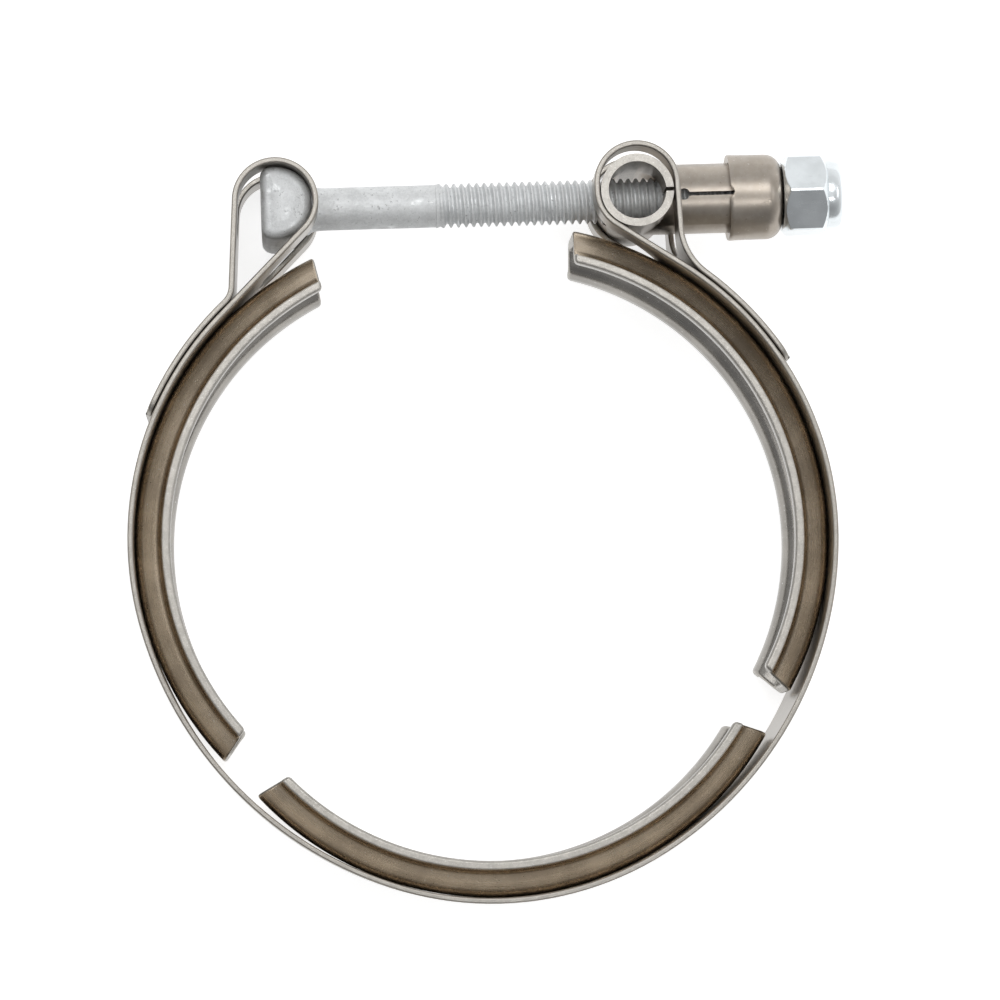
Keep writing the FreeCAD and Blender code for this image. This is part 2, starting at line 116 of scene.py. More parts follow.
class ClampRingSizes(PropertyGroup):
    """Sizes of the band and of the retainers."""

    ring_radius: length("Ring radius", "Band's middle layer, clamp closed", 41.5)
    band_thickness: length("Band thickness", "Strip", 0.75)
    band_width: length("Band width", "Strip", 19)
    retainer_span: angle("Retainer span", "Share of the ring that a retainer's web covers", 108.4)
    retainer_gap: angle("Retainer gap", "Between two retainers, closed", 8.5)
    weld_half_span: angle("Flex start", "From a retainer's middle to where the band flexes off it", 25)
    leg_angle: angle("Leg angle", "From a jaw's middle to where the band leaves it for its loop", 33.5)
    open_left: angle("Left opening", "How far the left jaw stands open", 10.2)
    open_right: angle("Right opening", "How far the right jaw stands open", 8.9)
    lean: angle("Lean", "From -Y to the bottom retainer's middle", 5)
    retainer_sheet: length("Retainer sheet", "Thickness of the retainers", 1.3)
    retainer_depth: length("Retainer depth", "Band's outside to the lips' inside", 5.5)
    web_half_width: length("Web", "Flat of the web, each side of the middle", 3.9)
    lip_half_width: length("Lip", "Middle of the retainer to the edge of its lip", 8.5)
    flank_slope: angle("Flank slope", "From the radius to the V's flanks", 20)
    end_rake: angle("End rake", "How far a retainer's ends lean in from the radius", 12)
    web_bend: length("Web bend", "Bends of the retainer's middle layer beside its web", 1.1)
    lip_bend: length("Lip bend", "Bends of the retainer's middle layer beside its lips", 1.75)
    seat_gap: length("Seat gap", "Between the band and a retainer", 0.04)
    tail_gap: length("Tail gap", "Between the band and its own tails", 0.08)
    leg_length: length("Leg", "Straight leg to the trunnion's loop", 9.9)
    loop_radius: length("Loop radius", "Inside of both loops", 4.85)
    loop_slack: length("Loop slack", "Height by which the trunnion's loop is longer than round", 0.9)
    left_foot_shift: length("Left foot", "Along the ring from the leg to the tail's foot", 1.8)
    left_foot_bend: length("Left foot bend", "Bend of the tail's foot", 3)
    left_tail_shift: length("Left tail", "Along the ring from the leg to the tail's end", -15.9)
    right_foot_shift: length("Right foot", "Along the ring from the leg to the tail's foot", -3.3)
    right_foot_bend: length("Right foot bend", "Bend of the tail's foot", 8)
    right_tail_shift: length("Right tail", "Along the ring from the leg to the tail's end", -18.9)
    head_slot_width: length("Head slot", "Width of the slot in the left loop", 7.6)
    head_slot_inner: length("Head slot, inner leg", "Straight of the slot below the loop", 5.2)
    head_slot_outer: length("Head slot, outer leg", "Straight of the slot below the loop", 0.2)
    snout_slot_width: length("Trunnion slot", "Width of the slot in the right loop", 10)
    snout_slot_inner: length("Trunnion slot, inner leg", "Straight of the slot below the loop", 2.3)
    snout_slot_outer: length("Trunnion slot, outer leg", "Straight of the slot below the loop", 3.5)
    tail_corner: length("Tail corner", "Rounding of the strip's ends", 2)
    weld_radius: length("Weld", "Radius of a spot weld's mark", 1.7)
    weld_pitch: length("Weld pitch", "From one spot weld to the next", 11)
    tail_weld: length("Tail weld", "Tail's end to its pair of spot welds", 7)
    tail_weld_off: length("Tail weld offset", "Strip's middle to each weld of the pair", 4.6)


class ClampBoltSizes(PropertyGroup):
    """Sizes of the bolt and of what it carries."""

    head_length: length("Head length", "T-head, across the band", 16.4)
    head_radius: length("Head radius", "Round side of the T-head", 4.75)
    head_flat: length("Head flat", "Head's axis to its flat back", 1.9)
    head_bevel: length("Head bevel", "Rounded bevel of the head's ends", 1.25)
    head_corner: length("Head corner", "Rounding between the head's back and its round side", 1.3)
    head_dome: length("Head dome", "How far the head's ends bulge", 0.35)
    shank_radius: length("Shank radius", "Plain shank", 2.8)
    thread_radius: length("Thread radius", "Crests of the thread", 2.91)
    thread_root: length("Thread root", "Root radius of the thread", 2.38)
    thread_start: length("Thread start", "Head's axis to the thread", 21)
    pitch: length("Pitch", "Advance of the thread in one turn", 1)
    tip_inset: length("Tip inset", "Nut's end to the bolt's tip", 1)
    cap_radius: length("Cap radius", "Outside of the cap", 5.65)
    cap_bore: length("Cap bore", "Inside of the cap", 4.63)
    cap_wall: length("Cap wall", "End wall of the cap", 1)
    cap_shoulder: length("Cap shoulder", "Rounding of the cap's closed end", 2.1)
    cap_hole: length("Cap hole", "Hole for the bolt", 3.2)
    nut_flats: length("Nut", "Across the flats", 9.8)
    nut_crown: length("Nut crown", "Domed locking end", 1.9)
    nut_step: length("Nut step", "How far the end faces lie inside the flats", 0.3)
    nut_lip: length("Nut lip", "Crown's rim round the thread", 0.5)
    nut_bore: length("Nut bore", "Radius round the thread", 2.96)
    nut_chamfer: angle("Nut chamfer", "Bevels of the hexagon from its end faces", 40)


class ClampColours(PropertyGroup):
    """Colours of the metals and of the table."""

    band: colour("Band", "Rolled stainless strip", 0.35, 0.325, 0.29)
    strip_edge: colour("Band edges", "Slit edges of the strip", 0.42, 0.40, 0.365)
    retainer: colour("Retainers", "Warm dull film on formed steel", 0.68, 0.57, 0.44)
    # Inside of the V: uncoated steel, set darker as painted shade for the dark reflections there.
    inside: colour("Retainers inside", "Bare steel in the V", 0.38, 0.362, 0.335)
    cut: colour("Cut edges", "Sheared edges of the thicker sheet", 0.46, 0.44, 0.405)
    bolt: colour("Bolt", "Zinc flake coating", 0.73, 0.745, 0.75)
    trunnion: colour("Trunnion", "Drawn steel", 0.40, 0.355, 0.305)
    nut: colour("Nut", "Bright zinc plate", 0.76, 0.80, 0.82)
    table: colour("Table", "Floor under the clamp", 0.60, 0.60, 0.60)


# ---------------------------------------------------------------- surfaces


def toward(turn):
    """Unit vectors in the plane, as complex numbers: cos + i sin of the angle."""
    return np.exp(1j * np.asarray(turn))


class SheetPath:
    """Middle line of a bent sheet, in a plane of complex numbers.

    It runs round circles (centre, radius) along their common tangents. A radius above 0 bends left and
    one below 0 bends right. On an arc a point is centre - i * radius * e^(i heading), and the heading
    grows by distance / radius; on a straight it is start + distance * e^(i heading).
    """

    SAME_HEADING = 1e-5
    SHORTEST = 0.01 * MM

    def __init__(self, circles, first, last):
        centres = np.array([c for c, _ in circles])
        bends = np.array([b for _, b in circles], float)
        across = centres[1:] - centres[:-1]
        sines = np.clip((bends[:-1] - bends[1:]) / abs(across), -1, 1)
        links = np.angle(across) + np.arcsin(sines)
        into, out = np.concatenate([[first], links]), np.concatenate([links, [last]])
        turns = np.mod((out - into) * np.where(bends < 0, -1, 1), 2 * np.pi)
        turns[turns > 2 * np.pi - self.SAME_HEADING] = 0
        arcs = turns * abs(bends)
        begins = centres - 1j * bends * toward(into)
        ends = centres - 1j * bends * toward(out)
        straights = np.append(abs(begins[1:] - ends[:-1]), 0)
        self.lengths = np.stack([arcs, straights], 1).ravel()
        self.starts = np.concatenate([[0], np.cumsum(self.lengths)])
        self.headings = np.stack([into, out], 1).ravel()
        self.points = np.stack([begins, ends], 1).ravel()
        self.centres = np.repeat(centres, 2)
        self.bends = np.stack([bends, np.zeros(len(bends))], 1).ravel()
        self.total = self.starts[-1]

    def arc(self, number):
        """Distances along the path at which this circle's arc starts and ends."""
        return self.starts[2 * number], self.starts[2 * number + 1]

    def at(self, along):
        """Points and headings at these distances."""
        part = np.searchsorted(self.starts, along, side="right") - 1
        part = np.clip(part, 0, len(self.bends) - 1)
        bend, run = self.bends[part], along - self.starts[part]
        curved = bend != 0
        heading = self.headings[part] + np.where(curved, run / np.where(curved, bend, 1), 0)
        on_arc = self.centres[part] - 1j * bend * toward(heading)
        on_line = self.points[part] + run * toward(heading)
        return np.where(curved, on_arc, on_line), heading

    def stations(self, turn_step, run_step, more=()):
        """Distances fine enough that no step turns or runs further than these."""
        marks = [np.asarray(more, float)]
        for start, size, bend in zip(self.starts, self.lengths, self.bends):
            turned = size / abs(bend) / turn_step if bend else 0
            steps = int(np.ceil(max(size / run_step, turned, 1)))
            marks.append(np.linspace(start, start + size, steps + 1))
        marks = np.unique(np.concatenate(marks))
        kept = np.concatenate([[True], np.diff(marks) > self.SHORTEST])
        return marks[kept]


def wall(a, b):
    """Quads between two rows of vertex numbers."""
    return np.stack([a[:-1], a[1:], b[1:], b[:-1]], -1).reshape(-1, 4)


def skin(numbers):
    """Quads over a grid of vertex numbers."""
    corners = [numbers[:-1, :-1], numbers[1:, :-1], numbers[1:, 1:], numbers[:-1, 1:]]
    return np.stack(corners, -1).reshape(-1, 4)


def plate(front, back, cut=None):
    """A sheet between two equal grids of points, closed round its four sides.

    cut marks the rows at which the first column is a free edge; elsewhere another half joins there.
    Returns points, faces and which faces are edges of the sheet.
    """
    rows, columns = front.shape[:2]
    first = np.arange(rows * columns).reshape(rows, columns)
    second = first + rows * columns
    sides = [wall(first[:, -1], second[:, -1]), wall(first[0], second[0]), wall(first[-1], second[-1])]
    inner = wall(first[:, 0], second[:, 0])
    sides.append(inner if cut is None else inner[cut[:-1] | cut[1:]])
    faces = [skin(first), skin(second)[:, ::-1], *sides]
    edge = np.concatenate([np.full(len(f), n > 1) for n, f in enumerate(faces)])
    points = np.concatenate([front.reshape(-1, 3), back.reshape(-1, 3)])
    return points, np.concatenate(faces), edge


def ring_of(grid, closed_rows=False):
    """A surface over a grid of points whose columns close round; the rows close too, or end in poles."""
    rows, columns = grid.shape[:2]
    numbers = np.arange(rows * columns).reshape(rows, columns)
    numbers = np.concatenate([numbers, numbers[:, :1]], 1)
    if closed_rows:
        numbers = np.concatenate([numbers, numbers[:1]], 0)
    faces = skin(numbers)
    return grid.reshape(-1, 3), faces, np.zeros(len(faces), bool)


def about_x(along, radius, turns):
    """Grid of points at these distances along X and radii round it."""
    radius = np.broadcast_to(np.asarray(radius), (len(along), len(turns)))
    x = np.broadcast_to(np.asarray(along)[:, None], radius.shape)
    return np.stack([x, radius * np.cos(turns), radius * np.sin(turns)], -1)


def full_turn(count):
    return np.arange(count) * 2 * np.pi / count


def mark_bevels(work, seam, sharp):
    """Marks the edges to bevel: those sharper than this, but not the butt joint's, which stay square."""
    weight = work.edges.layers.float.new("bevel_weight_edge")
    for edge in work.edges:
        off = [abs((complex(*end.co.xy) * np.conj(seam)).imag) for end in edge.verts]
        edge.smooth = bool(max(off) > 0.01 * MM)
        edge[weight] = float(edge.smooth and edge.calc_face_angle(0) > np.radians(sharp))


def piece(name, shells, body, materials, place=(0, 0, 0), lay=None, bevel=0.0, sharp=35,
          node=(), steps=2, flatten=False, bevel_slot=-1, seam=None):
    """One closed mesh of these shells, turned outwards, that rides on this body.

    A shell is points, faces and which faces take the second material. lay gives every point a place on
    the flat sheet. sharp is the angle in degrees above which an edge is bevelled, or left sharp where
    there is no bevel. flatten joins faces that lie in one plane. seam is the direction, from the ring's
    centre, of a flush butt joint.
    """
    bases = np.cumsum([0] + [len(shell[0]) for shell in shells])
    points = np.concatenate([shell[0] for shell in shells]) + np.array(place)
    faces = np.concatenate([shell[1] + base for shell, base in zip(shells, bases)])
    second = np.concatenate([shell[2] for shell in shells])
    mesh = bpy.data.meshes.new(name)
    mesh.from_pydata(points.tolist(), [], faces.tolist())
    mesh.polygons.foreach_set("material_index", second.astype(np.int32))
    if lay is not None:
        laid = mesh.attributes.new("lay", "FLOAT_VECTOR", "POINT")
        laid.data.foreach_set("vector", lay.astype(np.float32).ravel())
    work = bmesh.new()
    work.from_mesh(mesh)
    bmesh.ops.remove_doubles(work, verts=work.verts, dist=0.0005 * MM)
    bmesh.ops.dissolve_degenerate(work, edges=work.edges, dist=0.0002 * MM)
    if flatten:
        bmesh.ops.dissolve_limit(work, angle_limit=np.radians(1), verts=work.verts,
                                 edges=work.edges, delimit={"MATERIAL"})
    bmesh.ops.recalc_face_normals(work, faces=work.faces)
    for face in work.faces:
        face.smooth = True
    if seam is not None:
        mark_bevels(work, seam, sharp)
    work.to_mesh(mesh)
    work.free()
    for coat in materials:
        mesh.materials.append(coat)
    built = bpy.data.objects.new(name, mesh)
    bpy.context.scene.collection.objects.link(built)
    if bevel:
        soften = built.modifiers.new("soft_edges", "BEVEL")
        soften.width = bevel
        soften.segments = steps
        soften.material = bevel_slot
        soften.use_clamp_overlap = flatten
        soften.limit_method = "ANGLE" if seam is None else "WEIGHT"
        soften.angle_limit = np.radians(sharp)
        soften.harden_normals = True
    else:
        mesh.set_sharp_from_angle(angle=np.radians(sharp))
    if body:
        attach(built, body)
    if node:
        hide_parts(*node)
    return built


# ---------------------------------------------------------------- the ring's lines


def jaw(r, side):
    """Centre and middle angle of a jaw, and the bend of the band that flexes open beside it.

    The flex keeps its length as it opens, so its radius is ring radius * closed turn / open turn.
    """
    opening = r.open_left if side < 0 else r.open_right
    closed = r.retainer_span + r.retainer_gap - 2 * r.weld_half_span
    flexed = closed - opening
    radius = r.ring_radius * closed / flexed
    leave = 1.5 * np.pi + r.lean + side * r.weld_half_span
    arrive = leave + side * flexed
    flex_centre = toward(leave) * (r.ring_radius - radius)
    centre = flex_centre + toward(arrive) * (radius - r.ring_radius)
    return centre, arrive + side * r.weld_half_span, flex_centre, radius


def loop_places(r):
    """Centres of the head's loop and of the trunnion's, both on the bolt's axis."""
    places = []
    for side in (1, -1):
        centre, middle, _, _ = jaw(r, side)
        leave = middle + side * r.leg_angle
        start = centre + toward(leave) * (r.ring_radius + r.loop_radius + r.band_thickness / 2)
        way = toward(leave + side * np.pi / 2)
        run = r.leg_length if side > 0 else (places[0].imag - start.imag) / way.imag
        places.append(start + way * run)
    return places[1], places[0]


def band_path(r):
    """Path of the strip's middle layer: left tail, head's loop, ring, trunnion's loop, right tail."""
    bend = r.loop_radius + r.band_thickness / 2
    tail_radius = r.ring_radius + r.band_thickness + r.tail_gap
    head_at, barrel_at = loop_places(r)
    left, left_middle, left_flex, left_radius = jaw(r, -1)
    right, right_middle, right_flex, right_radius = jaw(r, 1)

    def foot(centre, middle, side, shift, foot_bend):
        turn = middle + side * (r.leg_angle + shift / tail_radius)
        return centre + toward(turn) * (tail_radius + foot_bend), foot_bend

    circles = [
        (left, -tail_radius),
        foot(left, left_middle, -1, r.left_foot_shift, r.left_foot_bend),
        (head_at, -bend),
        (left, r.ring_radius),
        (left_flex, left_radius),
        (0j, r.ring_radius),
        (right_flex, right_radius),
        (right, r.ring_radius),
        (barrel_at, -bend),
        (barrel_at + 1j * r.loop_slack, -bend),
        foot(right, right_middle, 1, r.right_foot_shift, r.right_foot_bend),
        (right, -tail_radius),
    ]
    first = left_middle - r.leg_angle - r.left_tail_shift / tail_radius - np.pi / 2
    last = right_middle + r.leg_angle + r.right_tail_shift / tail_radius - np.pi / 2
    return SheetPath(circles, first, last)


# Where these stand among the circles of the band's path.
HEAD_ARC, LEFT_ARC, BOTTOM_ARC, RIGHT_ARC, BARREL_ARC, SLACK_ARC = 2, 3, 5, 7, 8, 9


def slot_half(along, start, end, half):
    """Half width of a slot here: straight from start to end, and a half round beyond each."""
    beyond = np.maximum(np.maximum(start - along, along - end), 0)
    return np.sqrt(np.maximum(half**2 - beyond**2, 0))


def strip_shells(r, path, begin, end):
    """Both halves of the strip between two distances, with its slots and rounded ends.

    Each half runs from the slot, or the middle, to the edge: z = slot + (edge - slot) * share.
    """
    head, snout = path.arc(HEAD_ARC), (path.arc(BARREL_ARC)[0], path.arc(SLACK_ARC)[1])
    slots = [
        (head[0] - r.head_slot_outer, head[1] + r.head_slot_inner, r.head_slot_width / 2),
        (snout[0] - r.snout_slot_inner, snout[1] + r.snout_slot_outer, r.snout_slot_width / 2),
    ]
    fine = np.sin(np.linspace(0, np.pi / 2, 12))
    extra = [np.concatenate([start - half * fine, stop + half * fine]) for start, stop, half in slots]
    corner = r.tail_corner * (1 - np.cos(np.linspace(0, np.pi / 2, 8)))
    extra += [corner, path.total - corner, [begin, end]]
    along = path.stations(turn_step=np.radians(4), run_step=1.6 * MM, more=np.concatenate(extra))
    along = along[(along >= begin - TINY) & (along <= end + TINY)]
    hole = np.max([slot_half(along, *slot) for slot in slots], 0)
    hole[hole < 0.02 * MM] = 0
    near_end = np.clip(r.tail_corner - np.minimum(along, path.total - along), 0, r.tail_corner)
    edge = r.band_width / 2 - (r.tail_corner - np.sqrt(r.tail_corner**2 - near_end**2))
    share = np.linspace(0, 1, 9)
    z = hole[:, None] + (edge - hole)[:, None] * share
    middle, heading = path.at(along)
    shells, lays = [], []
    for up in (1, -1):
        grids = []
        for shift in (0.5, -0.5):
            line = middle + 1j * toward(heading) * shift * r.band_thickness
            x, y = (np.broadcast_to(v[:, None], z.shape) for v in (line.real, line.imag))
            grids.append(np.stack([x, y, up * z], -1))
            spread = np.broadcast_to(along[:, None], z.shape)
            lays.append(np.stack([spread, up * z, np.zeros(z.shape)], -1))
        shells.append(plate(*grids, cut=hole > 0))
    return shells, np.concatenate([lay.reshape(-1, 3) for lay in lays])


def section_path(r):
    """The retainer's V section as a bent sheet: lip, flank, web, flank, lip. Radius + i * height."""
    half = r.retainer_sheet / 2
    web = r.ring_radius - r.band_thickness / 2 - r.seat_gap - half
    lip = r.ring_radius + r.band_thickness / 2 - r.retainer_depth + half
    inner, outer = r.lip_bend, r.web_bend
    run = (inner + outer + (web - lip - inner - outer) * np.sin(r.flank_slope)) / np.cos(r.flank_slope)
    web_end, lip_end = r.web_half_width, r.web_half_width + run
    circles = [
        (lip + 1j * r.lip_half_width, 0),
        (lip + inner + 1j * lip_end, inner),
        (web - outer + 1j * web_end, -outer),
        (web - outer - 1j * web_end, -outer),
        (lip + inner - 1j * lip_end, inner),
        (lip - 1j * r.lip_half_width, 0),
    ]
    return SheetPath(circles, -np.pi / 2, -np.pi / 2)


def retainer_shell(r, centre, middle):
    """The V section carried round its share of the ring.

    A point turns by share * (half span - (ring radius - radius) * tan(rake) / radius), so the ends rake.
    """
    path = section_path(r)
    along = path.stations(turn_step=np.radians(12), run_step=1.2 * MM)
    line, heading = path.at(along)
    share = np.linspace(-1, 1, 91)
    across = np.broadcast_to((along - path.total / 2)[:, None], (len(along), len(share)))
    grids, lays = [], []
    for shift in (0.5, -0.5):
        profile = line + 1j * toward(heading) * shift * r.retainer_sheet
        radius, height = profile.real[:, None], profile.imag[:, None]
        reach = r.retainer_span / 2 - (r.ring_radius - radius) * np.tan(r.end_rake) / radius
        spot = centre + radius * toward(middle + share * reach)
        grids.append(np.stack([spot.real, spot.imag, np.broadcast_to(height, spot.shape)], -1))
        spread = share * reach * r.ring_radius
        lays.append(np.stack([spread, across, np.full(spot.shape, 0.5 - shift)], -1))
    return plate(*grids), np.concatenate([lay.reshape(-1, 3) for lay in lays])


# ---------------------------------------------------------------- materials


class Term:
    """A socket in shader maths, where + - * | and abs add Math nodes; | is the larger of two."""

    def __init__(self, finish, socket):
        self.finish, self.socket = finish, socket

    def math(self, operation, *pair):
        return self.finish.node("ShaderNodeMath", {"operation": operation}, dict(enumerate(pair)))

    def __add__(self, other):
        return self.math("ADD", self, other)

    __radd__ = __add__

    def __sub__(self, other):
        return self.math("SUBTRACT", self, other)

    def __rsub__(self, other):
        return self.math("SUBTRACT", other, self)

    def __mul__(self, other):
        return self.math("MULTIPLY", self, other)

    __rmul__ = __mul__

    def __abs__(self):
        return self.math("ABSOLUTE", self)

    def __or__(self, other):
        return self.math("MAXIMUM", self, other)

    def step(self, low, high):
        """0 below low, 1 above high, and a smooth rise between."""
        settings = {"interpolation_type": "SMOOTHSTEP"}
        return self.finish.node("ShaderNodeMapRange", settings, {0: self, 1: low, 2: high})


class Finish:
    """A material, or the world, made of nodes."""

    def __init__(self, owner, output="ShaderNodeOutputMaterial"):
        owner.use_nodes = True
        self.owner, self.tree = owner, owner.node_tree
        self.tree.nodes.clear()
        self.output = self.tree.nodes.new(output)

    def node(self, kind, settings=None, values=None, output=0):
        made = self.tree.nodes.new(kind)
        for key, value in (settings or {}).items():
            setattr(made, key, value)
        for key, value in (values or {}).items():
            if isinstance(value, Term):
                self.tree.links.new(value.socket, made.inputs[key])
            else:
                made.inputs[key].default_value = value
        return Term(self, made.outputs[output])

    def mix(self, factor, first, second):
        """Colour between two colours."""
        first, second = (c if isinstance(c, Term) else (*c, 1) for c in (first, second))
        return self.node("ShaderNodeMix", {"data_type": "RGBA"}, {0: factor, 6: first, 7: second}, 2)

    def coats(self, colour, *coats):
        """Colour under thin coats, each given by where it lies, its strength and its own colour."""
        for where, strength, over in coats:
            colour = self.mix(where * strength, colour, over)
        return colour

    def noise(self, where, scale, detail, roughness, stretch=(1, 1, 1)):
        """Noise from 0 to 1, of this many grains a metre, drawn out by stretch."""
        spot = self.node("ShaderNodeMapping", None, {"Vector": where, "Scale": stretch})
        values = {"Vector": spot, "Scale": scale, "Detail": detail, "Roughness": roughness}
        return self.node("ShaderNodeTexNoise", None, values)

    def close(self, shader):
        """Shows this shader, and returns what it was made for."""
        self.tree.links.new(shader.socket, self.output.inputs["Surface"])
        return self.owner

    def close_metal(self, colour, metallic, roughness, height, relief):
        """Shows a metal whose surface stands up by height * relief."""
        bump = self.node("ShaderNodeBump", None, {"Height": height, "Distance": relief})
        return self.close(self.node("ShaderNodeBsdfPrincipled", None, {
            "Base Color": colour, "Metallic": metallic, "Roughness": roughness, "Normal": bump}))

    def split(self, inner, outer, *kinds):
        """Shows inner, and outer to rays of these kinds."""
        shown = self.rays(*kinds)
        return self.close(self.node("ShaderNodeMixShader", None, {0: shown, 1: inner, 2: outer}))

    def rays(self, *kinds):
        """1 for rays of these kinds."""
        found = [self.node("ShaderNodeLightPath", None, None, f"Is {kind} Ray") for kind in kinds]
        total = found[0]
        for other in found[1:]:
            total = total | other
        return total


BLACK, WHITE = (0, 0, 0), (1, 1, 1)
SCORCH = (0.20, 0.17, 0.15)
SEEN = ("Camera", "Glossy", "Transmission")
RAY_WAY = 0  # number of the output that gives a ray's direction in a world


def shade(rgb, factor):
    return tuple(min(1.0, c * factor) for c in rgb)


def lay_of(finish):
    """A point's place on the flat sheet."""
    return finish.node("ShaderNodeAttribute", {"attribute_name": "lay"}, None, "Vector")


def place_of(finish):
    """A point's place in its piece's own coordinates."""
    return finish.node("ShaderNodeTexCoord", None, None, "Object")


def axis_of(where, axis):
    """One number of a vector."""
    return where.finish.node("ShaderNodeSeparateXYZ", None, {0: where}, axis)


def weld_spots(along, across, rows, pitch, radius):
    """1 on the round marks of spot welds, in rows given by their middle, odd count and offset."""
    marks = None
    for middle, count, offset in rows:
        run = along - middle
        near = run.math("PINGPONG", run, pitch / 2)
        aside = abs(across) - offset
        off = near.math("SQRT", near * near + aside * aside)
        reach = count * pitch / 2
        row = (1 - off.step(0.8 * radius, radius)) * (1 - abs(run).step(reach, reach + 0.1 * MM))
        marks = row if marks is None else marks | row
    return marks


def rolled_steel(name, rgb, rough, lay=True, stain_and_glint=0.5, bare_and_shade=None, rows=(), pitch=0.0, radius=0.0):
    """Rolled sheet: fine scratches along it, cloudy stains, small pits, painted highlight specks and
    spot welds.

    bare is the colour of its other side: uncoated steel, set darker as painted shade for the dark
    reflections inside the V. rows, pitch and radius are those of weld_spots.
    """
    f = Finish(bpy.data.materials.new(name))
    where = lay_of(f) if lay else place_of(f)
    long = (0.06, 1, 1) if lay else (1, 1, 0.15)
    scratches = f.noise(where, scale=5200, detail=4, roughness=0.7, stretch=long)
    streaks = f.noise(where, scale=900, detail=3, roughness=0.6, stretch=long)
    clouds = f.noise(place_of(f), scale=190, detail=4, roughness=0.6)
    pits = f.noise(place_of(f), scale=2400, detail=2, roughness=0.5).step(0.68, 0.76)
    # Painted highlight: white specks from this noise stand in for glinting of the sheet.
    painted_glints = f.noise(place_of(f), scale=3300, detail=2, roughness=0.5).step(0.68, 0.75)
    tone = f.coats(
        # Painted shade: the other side of the sheet, inside the V, takes the darker colour.
        f.mix(axis_of(where, "Z"), rgb, bare_and_shade) if bare_and_shade else rgb,
        (1 - clouds.step(0.3, 0.7), 0.35 * stain_and_glint, BLACK),
        (streaks.step(0.35, 0.75), 0.06, WHITE),
        # Painted highlight: white specks laid into the colour.
        (painted_glints, 0.6 * stain_and_glint, WHITE),
        (pits, 0.4 * stain_and_glint, BLACK),
    )
    roughness = rough + 0.12 * (scratches - 0.5) + 0.14 * stain_and_glint * (clouds - 0.5) + 0.1 * pits
    height = scratches * 0.4 + streaks * 0.3 + clouds * 0.8 - pits * 0.5 + painted_glints * 0.5
    if rows:
        weld = weld_spots(axis_of(where, "X"), axis_of(where, "Y"), rows, pitch, radius)
        tone = f.coats(tone, (weld, 0.35, SCORCH))
        roughness = roughness + 0.12 * weld
        height = height - weld * 9
    return f.close_metal(tone, 1.0, roughness, height, relief=0.006 * MM)


def cut_edge(name, rgb):
    """Sheared edge: finely torn, with bright grains and small dark nicks."""
    f = Finish(bpy.data.materials.new(name))
    where = place_of(f)
    tears = f.noise(where, scale=6200, detail=3, roughness=0.6)
    patches = f.noise(where, scale=900, detail=3, roughness=0.6)
    tone = f.coats(
        f.mix(patches.step(0.35, 0.7), shade(rgb, 0.88), shade(rgb, 1.06)),
        (tears.step(0.55, 0.72), 0.4, shade(rgb, 0.55)),
        ((1 - tears).step(0.58, 0.72), 0.35, WHITE),
    )
    roughness = 0.40 + 0.25 * (tears - 0.5)
    return f.close_metal(tone, 0.85, roughness, tears + patches * 0.6, relief=0.014 * MM)


def zinc_flake(name, rgb):
    """Sprayed zinc flake: matte grey, grainy, with dark specks and rubbed bright patches."""
    f = Finish(bpy.data.materials.new(name))
    where = place_of(f)
    grain = f.noise(where, scale=3400, detail=5, roughness=0.75)
    blotch = f.noise(where, scale=420, detail=5, roughness=0.7)
    specks = f.noise(where, scale=2700, detail=4, roughness=0.7).step(0.58, 0.68)
    specks = specks * blotch.step(0.42, 0.6)
    rubbed = f.noise(where, scale=560, detail=3, roughness=0.5).step(0.55, 0.70)
    tone = f.coats(
        f.mix(blotch.step(0.3, 0.7), shade(rgb, 0.86), shade(rgb, 1.08)),
        (grain.step(0.4, 0.65), 0.35, shade(rgb, 1.25)),
        (specks, 0.7, shade(rgb, 0.30)),
    )
    metallic = 0.25 + 0.35 * rubbed
    roughness = 0.48 - 0.12 * rubbed + 0.18 * (grain - 0.5) + 0.1 * specks
    height = grain * 0.7 + blotch * 0.9 - specks * 0.8
    return f.close_metal(tone, metallic, roughness, height, relief=0.045 * MM)


def bright_zinc(name, rgb):
    """Bright zinc plate: bluish, glossy, a little uneven, with dull rub marks."""
    f = Finish(bpy.data.materials.new(name))
    where = place_of(f)
    wave = f.noise(where, scale=260, detail=2, roughness=0.5)
    rub = f.noise(where, scale=1200, detail=4, roughness=0.65, stretch=(0.35, 1, 1))
    tone = f.coats(
        f.mix(wave.step(0.3, 0.7), shade(rgb, 0.92), shade(rgb, 1.08)),
        (rub.step(0.58, 0.74), 0.3, shade(rgb, 0.7)),
    )
    roughness = 0.20 + 0.12 * rub.step(0.5, 0.75)
    return f.close_metal(tone, 1.0, roughness, wave + rub * 0.25, relief=0.006 * MM)


def table_top(name, rgb):
    """Pale table that stays white where it is seen and keeps the shadow."""
    f = Finish(bpy.data.materials.new(name))
    grain = f.noise(place_of(f), scale=30, detail=2, roughness=0.5)
    tone = f.mix(grain, shade(rgb, 0.99), shade(rgb, 1.01))
    matte = f.node("ShaderNodeBsdfDiffuse", None, {"Color": tone})
    glow = f.node("ShaderNodeEmission", None, {"Color": (*WHITE, 1), "Strength": 0.8})
    return f.split(matte, f.node("ShaderNodeAddShader", None, {0: matte, 1: glow}), *SEEN)


